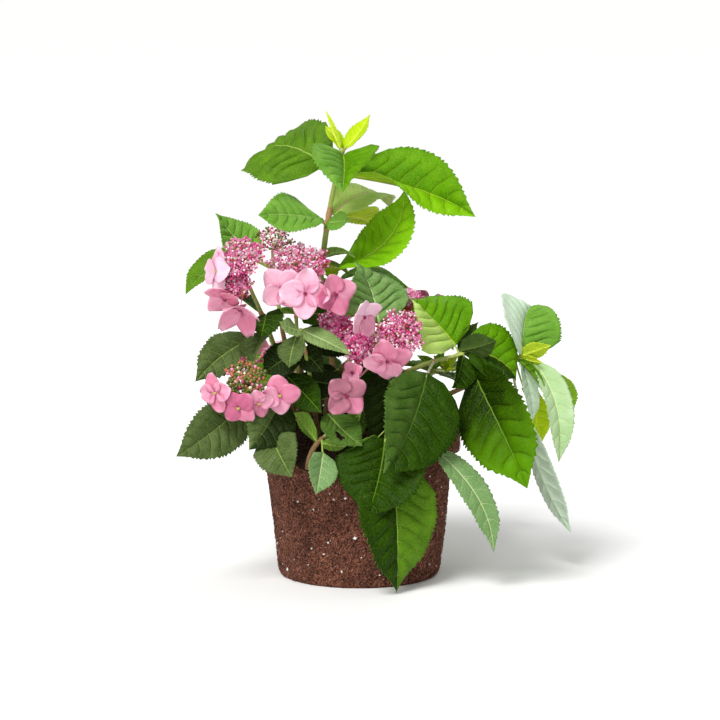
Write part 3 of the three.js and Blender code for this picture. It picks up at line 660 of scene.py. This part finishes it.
# Stems
def bezier(a, b, c, t):
    t = np.asarray(t)[..., None]
    return (1 - t) ** 2 * a + 2 * t * (1 - t) * b + t ** 2 * c


def shoot_at(name, t):
    """Points at shares of a shoot's way, which starts a little under the soil."""
    (x, y), elbow, tip = SHOOTS[name][:3]
    return bezier(np.array([x, y, soil_height(x, y) - 5]), np.array(elbow, float), np.array(tip, float), t)


def tube(store, line, radii, sides, looks, bumps=0.0, seed=1):
    """A closed tube along a line of points. looks is one material name a ring."""
    line = np.asarray(line, float)
    along = unit(np.gradient(line, axis=0))
    across = unit(np.cross(along, np.array([0.31, 0.9, 0.29])))
    beside = np.cross(along, across)
    turn = np.arange(sides) / sides * 2 * pi
    rings = np.arange(len(line))[:, None]
    knobs = np.sin(turn * 3 + seed + rings * 0.21) * 0.6 + np.sin(turn * 5 - rings * 0.9 + seed * 2)
    radii = np.asarray(radii, float)[:, None] * (1 + bumps * knobs)
    places = line[:, None] + across[:, None] * (np.cos(turn) * radii)[..., None]
    places = places + beside[:, None] * (np.sin(turn) * radii)[..., None]
    run = np.concatenate([[0], np.cumsum(np.linalg.norm(np.diff(line, axis=0), axis=1))])
    flat = np.stack(np.broadcast_arrays(turn * radii.mean() / 10, run[:, None] / 10), axis=-1)
    faces, kinds = [], []
    last = (len(line) - 1) * sides
    for k, a in enumerate(range(0, last, sides)):
        b = a + sides
        faces += [(a + i, a + (i + 1) % sides, b + (i + 1) % sides, b + i) for i in range(sides)]
        kinds += [store.look(looks[k])] * sides
    faces += [tuple(range(sides))[::-1], tuple(range(last, last + sides))]
    kinds += [store.look(looks[0]), store.look(looks[-1])]
    store.add(places.reshape(-1, 3), faces, kinds, flat.reshape(-1, 2))


def add_cane(store, name, nodes, seed):
    """A shoot from the soil to its tip, swollen where leaves join it, barky at its foot."""
    (foot, tip), bare = SHOOTS[name][3:]
    t = np.linspace(0, 1, CANE_RINGS)
    radius = np.interp(t, [0, bare, 1], [foot, mix(foot, tip, bare), tip]) / 2 * 0.96
    looks = []
    for share in t:
        joint = min(abs(share - n) for n in nodes) < 0.018 and share < 0.8
        bark = share < CANE_BARK.get(name, bare * 0.9)
        looks.append("cane_bark" if bark else "cane_red" if joint else "cane_green")
    for n in nodes:
        radius = radius + 0.5 * np.exp(-((t - n) / 0.012) ** 2)
    tube(store, shoot_at(name, t), radius, 12, looks, 0.05, seed)


# How far up a cane is barky, where that isn't nearly its bare share, and the leaves on pale stalks.
CANE_BARK = {"tall": 0.34, "left_head": 0.4, "right_head": 0.55, "right_branch": 0.5, "front_left": 0.8}
PALE_STALKS = {("right_branch", 2), ("far_right", 0), ("far_right", 9)}


# Flowers
def petal(store, middle, along, across, face, reach, width, cup, look, chance):
    """One broad sepal, rounded, dished and softly waved, thin but closed."""
    rows, cols = 10, 9
    u = np.linspace(0.03, 1, rows)[:, None]
    v = np.linspace(-1, 1, cols)[None, :]
    half = width / 2 * np.sin(np.pi * np.clip(u ** 0.72 * 0.93 + 0.03, 0, 1)) ** 0.62
    half = np.where(u > 0.999, width * 0.13, half)
    phase = chance() * 6
    ripple = 0.045 * width * np.abs(v) ** 2 * np.sin(u * 6 + phase + v * 2)
    tip = u * reach + (1 - v ** 2) * 0.02 * reach * u
    curl = 0.09 * width * v ** 2 * (1 if chance() > 0.4 else -0.6)
    lift = cup * reach * (u ** 2) * 0.98 + ripple * u + curl
    x = half * v
    top = middle + along * tip[..., None] + across * x[..., None] + face * lift[..., None]
    places = np.concatenate([top.reshape(-1, 3), (top - face * 0.3).reshape(-1, 3)])
    faces, rims, _ = sheet(np.ones((rows - 1, cols - 1), bool))
    faces += rims
    flat = np.stack(np.broadcast_arrays(x / 100, u), axis=-1).reshape(-1, 2)
    blade = np.concatenate([flat, flat]) + np.array([chance() * 3, 0])
    store.add(places, faces, [store.look(f"petal_{look}")] * len(faces), blade, None, len(rims))


# A bud's points and faces: a pole, two rings of six and the other pole.
BEAD_RINGS = [(pi * k / 3, 2 * pi * (i + 0.5 * k) / 6) for k in (1, 2) for i in range(6)]
BEAD_RINGS = [(sin(a) * cos(t), sin(a) * sin(t), cos(a)) for a, t in BEAD_RINGS]
BEAD = np.array([(0, 0, 1), *BEAD_RINGS, (0, 0, -1)])
BEAD_FACES = [(0, 1 + i, 1 + (i + 1) % 6) for i in range(6)]
BEAD_FACES += [(1 + i, 7 + i, 7 + (i + 1) % 6, 1 + (i + 1) % 6) for i in range(6)]
BEAD_FACES += [(13, 7 + (i + 1) % 6, 7 + i) for i in range(6)]


def bead(store, middle, radius, look):
    """A small round bud."""
    store.add(middle + radius * BEAD, BEAD_FACES, [store.look(look)] * len(BEAD_FACES))


def seat(name, centre, heading, rise):
    """Where a head or floret sits: its shoot's end, its middle, the way it faces and two ways beside it."""
    face = aim(heading, rise)
    right = unit(np.cross(face, [0, 0, 1]))
    return shoot_at(name, SHOOT_END), np.array(centre, float), face, right, np.cross(right, face)


def add_floret(petals, twigs, index, chance):
    """A sterile floret of four overlapping sepals round a beaded eye."""
    source, middle, face, right, over = seat(*FLORETS[index][:4])
    width, spin, cup, tones = FLORETS[index][4:]
    reach = width / 2 * 0.98
    for k, tone in enumerate(tones.split()):
        along = around(over, right, radians(spin + 90 * k + (chance() - 0.5) * 8))
        size = reach * (0.94 + 0.08 * chance())
        wide = reach * (0.98 + 0.1 * chance())
        raised = middle + face * (0.35 * (k % 2) + 0.3)
        petal(petals, raised, along, np.cross(face, along), face, size, wide, cup, tone, chance)
    eye = "eye_green" if index in GREEN_EYES else "eye_red"
    for k in range(5):
        spot = middle + face * 1.1 + around(over, right, k * FIFTH_TURN) * (0.9 if k else 0)
        bead(petals, spot, EYE_BEAD, eye)
    bend = middle - face * min(12, np.linalg.norm(source - middle) * 0.4)
    line = bezier(source, bend, middle, np.linspace(0, 1, 14))
    look = "ray_green" if index in GREEN_STALKS else "ray_pink"
    tube(twigs, line, np.linspace(0.8, 0.55, 14), 6, [look] * 14)


def add_head(buds, twigs, index, chance):
    """A head of fertile flowers: rays that fork twice, each fork ending in buds and open stars."""
    source, middle, face, right, over = seat(*HEADS[index][:4])
    spread, depth, shares = HEADS[index][4:]
    hub = mix(source, middle - face * depth * 1.4, 0.6)
    green = index in GREEN_HEADS
    ray = "ray_green" if green else "ray_red"
    line = bezier(source, mix(source, hub, 0.5), hub, np.linspace(0, 1, 5))
    tube(twigs, line, [1.1] * 5, 6, ["ray_green"] * 5)
    names = list(BUDS)
    weights = np.cumsum(shares)
    forks = int((10 + spread * 0.8) * (0.6 if green else 1))
    big = 1.5 if index == GREEN_HEADS[1] else 0.95
    for i in range(forks):
        far = spread * 0.88 * sqrt((i + 0.6) / forks)
        dome = depth * 0.55 * (1 - (far / spread) ** 2) - depth * 0.35
        knot = middle + around(right, over, i * GOLDEN_TURN + index) * far + face * (dome - 2.6)
        bend = mix(hub, knot, 0.55) + face * -1.2
        tube(twigs, bezier(hub, bend, knot, np.linspace(0, 1, 6)), np.linspace(0.8, 0.42, 6), 5, [ray] * 6)
        for j in range(KNOT_BUDS):
            off = KNOT_REACH * sqrt((j + 0.3) / KNOT_BUDS)
            spot = knot + around(right, over, j * GOLDEN_TURN + i) * off
            sunk = j % 3 == 2
            spot = spot + face * ((0.6 if sunk else 2.8) + 1.5 * (chance() - 0.5) - off * 0.16)
            tube(twigs, [knot, mix(knot, spot, 0.5) + face * -0.2, spot], [0.32, 0.26, 0.24], 3, [ray] * 3)
            pick = names[int(np.searchsorted(weights, chance() * weights[-1]))]
            # Sunk buds take the deeper wine and magenta: partly their own deeper colour, partly painted
            # shade between the raised buds.
            if sunk and not green:
                pick = "bud_wine" if chance() > 0.7 else "bud_magenta"
            opened = chance() > (0.97 if green else 0.9 if sunk else 0.45)
            bead(buds, spot, big * (0.8 if opened else 1.1) * (0.85 + 0.3 * chance()), pick)
            if opened:
                add_star(buds, spot, face, right, over, chance, OPEN.get(pick, pick))


STAR_PETAL = ((0, 1, 2), (0, 2, 3), (4, 2, 1), (4, 3, 2), (4, 1, 0), (4, 0, 3))
STAMEN = ((0, 1, 2), (0, 2, 3), (0, 3, 1), (1, 3, 2))


def add_star(buds, middle, face, right, over, chance, look):
    """A tiny open flower: five pointed petals and a few stamens."""
    lean = unit(face + right * (chance() - 0.5) * 0.8 + over * (chance() - 0.5) * 0.8)
    x = unit(np.cross(lean, over))
    y = np.cross(lean, x)
    turn = chance() * 6
    places, faces, kinds = [], [], []
    for k in range(5):
        out = around(x, y, turn + k * FIFTH_TURN)
        wing, beside = out * 0.95 + lean * 0.35, np.cross(lean, out) * 0.5
        faces += [[len(places) + i for i in corners] for corners in STAR_PETAL]
        tip = out * 1.75 + lean * 0.1
        places += [lean * 0.2, wing + beside, tip, wing - beside, out * 0.9 - lean * 0.15]
        kinds += [buds.look(look)] * len(STAR_PETAL)
    for k in range(4):
        out = around(x, y, turn + 0.6 + k * QUARTER_TURN)
        tip = lean * 2.2 + out * 1.1
        faces += [[len(places) + i for i in corners] for corners in STAMEN]
        places += [out * 0.2, out * 0.2 + y * 0.14 + x * 0.1, tip + y * 0.2, tip - y * 0.12 + x * 0.2]
        kinds += [buds.look("bud_white" if k == 0 else "bud_pink")] * len(STAMEN)
    buds.add(middle + np.array(places), faces, kinds)


# Root ball: one row a corner of its profile from the underside's middle: radius, height, steps to the next.
PROFILE = [
    (0, 0, 12), (BALL_FOOT, 0, 2), (BALL_FOOT + 1.8, 1.8, 24), (69, 35, 24), (72.8, 70, 22),
    (BALL_SHOULDER, LIP_FOOT - 1, 5), (BALL_LIP, LIP_FOOT, 16), (BALL_LIP + 0.2, LIP_TOP - 2, 3),
    (BALL_LIP - 3, LIP_TOP, 14), (57, SOIL_TOP, 14), (31, SOIL_TOP, 12), (0, SOIL_TOP, 0),
]
BALL_TURNS = 300
TOP_RINGS = 42
SIDE_TURNS = 120


def ball_corner(r, height, angle):
    """The source's rule for one corner of the root ball's profile at one angle."""
    off = abs(angle + pi / 2)
    off = min(off, 2 * pi - off)
    front = 1 - float(smooth(0.6, 1.25, off))
    z = height
    if r > 60 and height > 90:
        rim = height > LIP_TOP - 3
        z = mix(height, TORN_TOP + (height - LIP_TOP) * 0.6 if rim else height - 12, front)
        r = mix(r, min(r, 77) - (2.5 if rim else 0.5), front)
    if r > 60 and height > 5:
        r += 0.7 * sin(5 * angle + height * 0.05) + 0.5 * sin(9 * angle - height * 0.08)
    if r <= 60 and height > 90:
        z = float(soil_height(r * cos(angle), r * sin(angle)))
    return r, z


def ball_section(angle):
    """Radius and height down the whole profile at one angle."""
    corners = [ball_corner(r, z, angle) for r, z, _ in PROFILE]
    line = []
    for (a, b), (_, _, steps) in zip(zip(corners, corners[1:]), PROFILE):
        line += [(mix(a[0], b[0], t / steps), mix(a[1], b[1], t / steps)) for t in range(steps)]
    return np.array(line + corners[-1:])


# The side below the rim, seen from SIDE_TURNS angles.
SIDES = [ball_section(-pi + 2 * pi * i / SIDE_TURNS)[14:112] for i in range(SIDE_TURNS)]


def ball_radius(angle, height):
    """The outer radius of the ball at a height under its rim."""
    section = SIDES[int((angle + pi) / (2 * pi) * SIDE_TURNS) % SIDE_TURNS]
    return float(np.interp(height, section[:, 1], section[:, 0]))


def root_ball():
    """The ball's coir side and its peaty top, a little lumpy all over."""
    store = Store()
    side, top = store.look("coir"), store.look("peat")
    places = []
    for i in range(BALL_TURNS):
        angle = -pi + 2 * pi * i / BALL_TURNS
        section = ball_section(angle)
        for r, z in section:
            p = Vector((r * cos(angle), r * sin(angle), z))
            if z > 1.5 and r > 5:
                bulge = noise.fractal(p * 0.16, 0.7, 2.0, 4) * 0.7 + noise.noise(p * 0.55) * 0.45
                bulge = max(-1.5, min(0.9, bulge))
                if z > 92 and r < 74:
                    p += Vector((0, 0, 1)) * bulge * 1.6
                else:
                    p += Vector((cos(angle), sin(angle), 0)) * bulge
            places.append(p)
    rings = len(section)
    faces, looks = [], []
    for i in range(BALL_TURNS):
        a, b = i * rings, (i + 1) % BALL_TURNS * rings
        faces.append((0, b + 1, a + 1))
        faces += [(a + k, b + k, b + k + 1, a + k + 1) for k in range(1, rings - 2)]
        faces.append((a + rings - 2, b + rings - 2, rings - 1))
        looks += [top if k > rings - TOP_RINGS else side for k in range(rings - 1)]
    store.add(places, faces, looks)
    piece = store.make("root_ball_coir", "root_ball", maps=False)
    loose = bmesh.new()
    loose.from_mesh(piece.data)
    bmesh.ops.delete(loose, geom=[v for v in loose.verts if not v.link_faces], context="VERTS")
    layer = loose.loops.layers.uv.new("OFBake")
    for face in loose.faces:
        spots = [unrolled(loop.vert.co) for loop in face.loops]
        wide = max(s[0] for s in spots)
        for loop, (turn, down) in zip(face.loops, spots):
            loop[layer].uv = (turn + 1 if wide - turn > 0.5 else turn) * 0.98, down
    loose.to_mesh(piece.data)
    loose.free()
    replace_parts(piece, "root_ball")


def unrolled(p):
    """A flat place for a point of the ball: round it, and from the underside's middle up and over."""
    r, z = hypot(p.x, p.y) / MM, p.z / MM
    turn = atan2(p.y, p.x) / (2 * pi) + 0.5
    if z < 1:
        return turn, 0.22 * r / BALL_FOOT
    if r > 72 or z < 90:
        return turn, 0.22 + 0.5 * z / LIP_TOP
    return turn, 0.99 - 0.26 * r / 84


# Perlite that shows from the front: x, height, size.
PERLITE = [(-50, 68, 1.1), (-46, 60, 0.9), (-10, 61, 0.9), (-3.4, 42, 2.2), (18, 11, 1.2), (24, 12, 0.8)]


def root_litter():
    """Coir fibres, crumbs and perlite that stand a little out of the ball."""
    rng = np.random.default_rng(5)
    draw = rng.uniform
    fibres = Store()
    tones = [fibres.look(name) for name in ("fibre_light", "fibre_dark", "coir")]
    for _ in range(FIBRES):
        angle = draw(-pi, pi)
        height = draw(3, 124)
        heading = draw(0, pi)
        length = draw(3, 8)
        curl = rng.normal(0, 0.12)
        line = []
        for k in range(5):
            r = ball_radius(angle, height) + 0.1 + 0.75 * sin(pi * k / 4) * draw(0.4, 1)
            line.append((r * cos(angle), r * sin(angle), height))
            heading += curl
            angle += cos(heading) * length / 4 / r
            height = min(125.0, max(1.2, height + sin(heading) * length / 4))
        off = abs(atan2(sin(angle + pi / 2), cos(angle + pi / 2)))
        if height > 92 and off < 1.25:
            continue
        look = tones[int(rng.choice(3, p=[0.4, 0.3, 0.3]))]
        strand(fibres, np.array(line), draw(0.1, 0.19), look)
    piece = fibres.make("root_ball_fibres", "root_ball", maps=False)
    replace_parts(piece, "root_ball")
    bits = Store()
    for _ in range(SIDE_PERLITE):
        chip(bits, draw(-pi, pi), draw(4, 90), 0.3 + 1.3 * rng.random() ** 4, "perlite", rng)
    for x, z, size in PERLITE:
        chip(bits, -acos(x / 74), z, size, "perlite", rng)
    for _ in range(SIDE_CRUMBS):
        chip(bits, draw(-pi, pi), draw(3, 96), draw(0.5, 1.1), "crumb", rng)
    for _ in range(TOP_CRUMBS):
        turn, far = draw(-pi, pi), 74 * sqrt(rng.random())
        x, y = far * cos(turn), far * sin(turn)
        spot = np.array([x, y, float(soil_height(x, y)) + 0.3])
        lump(bits, spot, draw(0.8, 2.4), "perlite" if rng.random() > 0.96 else "crumb", rng)
    piece = bits.make("root_ball_crumbs", "root_ball", maps=False)
    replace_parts(piece, "root_ball")


def strand(store, line, radius, look):
    """A three-sided fibre along a line."""
    along = unit(np.gradient(line, axis=0))
    out = unit(line * np.array([1, 1, 0]))
    beside = np.cross(along, out)
    places = []
    for k, p in enumerate(line):
        r = radius * (1 if 0 < k < len(line) - 1 else 0.45)
        back = p - out[k] * r * 0.5
        places += [p + out[k] * r, back + beside[k] * r, back - beside[k] * r]
    faces = []
    for k in range(0, 3 * len(line) - 3, 3):
        faces += [(k + i, k + 3 + i, k + 3 + (i + 1) % 3, k + (i + 1) % 3) for i in range(3)]
    last = 3 * len(line)
    faces += [(0, 1, 2), (last - 1, last - 2, last - 3)]
    store.add(places, faces, [look] * len(faces))


def lump(store, spot, radius, look, rng):
    """A small angular grain."""
    corners = np.array([(1, 0, 0), (-1, 0, 0), (0, 1, 0), (0, -1, 0), (0, 0, 1), (0, 0, -1)], float)
    corners = corners * rng.uniform(0.6, 1.1, (6, 1)) + rng.uniform(-0.25, 0.25, (6, 3))
    faces = [(0, 2, 4), (2, 1, 4), (1, 3, 4), (3, 0, 4), (2, 0, 5), (1, 2, 5), (3, 1, 5), (0, 3, 5)]
    store.add(spot + corners * radius, faces, [store.look(look)] * 8, rims=8)


def chip(store, angle, height, radius, look, rng):
    r = ball_radius(angle, height) + 0.15
    lump(store, np.array([r * cos(angle), r * sin(angle), height]), radius, look, rng)


# The plant
GROUPS = {
    "left": ["tall", "rear_left", "left_head", "middle_head", "rosette", "low_left", "front_left"],
    "right": ["right_head", "right_branch", "far_right", "front_right"],
    "rear": list(REAR),
}
# Holes in one lower leaf: share along it, share across it, radius.
HOLES = {("front_left", 2): [(0.52, 0.42, 2.6), (0.6, 0.5, 2.0), (0.44, 0.36, 1.3)]}


def rear_leaves(name):
    """The source's rule for pairs of leaves on a hidden-side shoot."""
    bearing, rise, longest, seed, shares = REAR[name]
    chance = seeded(seed)
    rows = []
    for pair, share in enumerate(shares):
        for turn in (0, 180):
            heading = bearing + 90 * pair + 90 + turn + (chance() - 0.5) * 24
            inward = cos(radians(heading - bearing)) < -0.3
            length = longest * (0.8 + 0.2 * chance())
            lift = rise + (chance() - 0.5) * 16
            tone = REAR_TONES[int(chance() * len(REAR_TONES))]
            droop = 35 + 30 * chance()
            roll = (chance() - 0.5) * 30
            sweep = (chance() - 0.5) * 30
            if not inward:
                blade = (heading, lift, length, length * 0.62, droop, roll, 14, sweep, 0, tone)
                rows.append((share, 7, heading, lift, *blade))
    return rows


def axil_leaves(name, chance):
    """Small young leaves that open at a hidden-side shoot's joints, finer than the source's."""
    bearing, _, _, _, shares = REAR[name]
    rows = []
    for pair, share in enumerate(shares + [0.995]):
        for turn in (0, 180):
            heading = bearing + 90 * pair + turn + (chance() - 0.5) * 40
            length = mix(15, 27, chance())
            rise = mix(20, 60, chance())
            tone = "young" if share > 0.9 else "fresh"
            droop, sweep = 40 * chance(), 30 * (chance() - 0.5)
            blade = (heading, rise, length, length * 0.56, droop, 0, 18, sweep, 0, tone)
            rows.append((share, 3, heading, rise, *blade))
    return rows


def grow():
    """Every shoot with its stalks, leaves, flower heads and florets."""
    canes, twigs, petals, buds = Store(), Store(), Store(), Store()
    for group, names in GROUPS.items():
        leaves = Store()
        growth = []
        for number, name in enumerate(names):
            chance = seeded(101 + 13 * number + len(group))
            rows = rear_leaves(name) + axil_leaves(name, chance) if name in REAR else LEAVES[name]
            growth += [(name, i, row, chance) for i, row in enumerate(rows)]
            add_cane(canes, name, sorted({row[0] for row in rows}), number)
        cells = ceil(sqrt(2 * len(growth)))
        for cell, (name, i, row, chance) in enumerate(growth):
            share, stalk, heading, rise, blade_heading, blade_rise, length = row[:7]
            base = shoot_at(name, share) + aim(heading, rise) * stalk
            add_leaf(leaves, base, row, HOLES.get((name, i), ()), chance, cell, cells)
            end = base + aim(blade_heading, blade_rise) * 4
            line = bezier(shoot_at(name, min(share, SHOOT_END)), base, end, np.linspace(0, 1, 12))
            stout = 1.0 if length > 60 else 0.75 if length > 34 else 0.55
            look = "stalk_pale" if (name, i) in PALE_STALKS else "stalk_green"
            tube(twigs, line, np.linspace(1.25, 0.7, 12) * stout, 8, [look] * 12, 0.04, i)
        piece = leaves.make(f"leaves_{group}", "leaf")
        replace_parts(piece, *[f"{name}_foliage" for name in names])
    chance = seeded(77)
    for index in range(len(FLORETS)):
        add_floret(petals, twigs, index, chance)
    for index in range(len(HEADS)):
        add_head(buds, twigs, index, chance)
    piece = canes.make("canes_bark", "stem")
    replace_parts(piece, *[f"{name}_cane" for name in SHOOTS])
    masses = [f"{name}_foliage" for name in SHOOTS]
    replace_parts(twigs.make("twigs_and_stalks", "stem"), *masses)
    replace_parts(petals.make("petals", "petal"), *masses)
    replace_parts(buds.make("fertile_flowers", "bloom", maps=False), *masses)


# Stage: the way to the sun, then one row a lamp: name, place, size, watts, what it faces.
SUN_FROM = (-0.42, -0.72, 1.1)
SUN_STRENGTH = 2.7
SUN_SOFTNESS = 24
SKY_STRENGTH = 0.44
LAMPS = [
    ("front", (-0.9, -1.9, 0.9), 1.3, 8, (0, 0, 0.2)),
    ("rim", (0.9, 1.7, 1.9), 1.0, 14, (0, 0, 0.22)),
]


def stage():
    """A plain pale floor, an even sky, a soft sun and two lamps."""
    bpy.ops.mesh.primitive_plane_add(size=300, location=(0, 0, 0))
    floor = bpy.context.object
    floor.name = "floor"
    Nodes("floor_white").finish((0.93, 0.93, 0.92, 1), 0.9)
    floor.data.materials.append(MATERIALS["floor_white"])
    world = bpy.data.worlds.new("studio")
    world.use_nodes = True
    sky = world.node_tree.nodes["Background"].inputs
    sky["Color"].default_value = (1.0, 1.0, 1.0, 1)
    sky["Strength"].default_value = SKY_STRENGTH
    SCENE.world = world
    SCENE.view_settings.view_transform = "Standard"
    sun = bpy.data.lights.new("sun", "SUN")
    sun.energy = SUN_STRENGTH
    sun.angle = radians(SUN_SOFTNESS)
    put("sun", sun).rotation_euler = Vector(SUN_FROM).to_track_quat("Z", "Y").to_euler()
    for name, spot, size, watts, target in LAMPS:
        lamp = bpy.data.lights.new(name, "AREA")
        lamp.size = size
        lamp.energy = watts
        way = Vector(target) - Vector(spot)
        put(name, lamp, spot).rotation_euler = way.to_track_quat("-Z", "Y").to_euler()


# Camera
CAMERA_DISTANCE = 2.2
CAMERA_ELEVATION = 8
CAMERA_TARGET = (0.0008, 0, 0.1746)
CAMERA_LENS = 135.8


def camera():
    """The photograph's view: straight from the front and a little from above."""
    tilt = radians(CAMERA_ELEVATION)
    data = bpy.data.cameras.new("camera")
    data.sensor_width = 36
    data.lens = CAMERA_LENS
    data.clip_end = 400
    x, y, z = CAMERA_TARGET
    eye = put("camera", data, (x, y - CAMERA_DISTANCE * cos(tilt), z + CAMERA_DISTANCE * sin(tilt)))
    eye.rotation_euler = (radians(90) - tilt, 0, 0)
    bpy.context.scene.camera = eye


camera()
stage()
leaf_materials()
petal_materials()
stem_materials()
soil_materials()
root_ball()
root_litter()
grow()
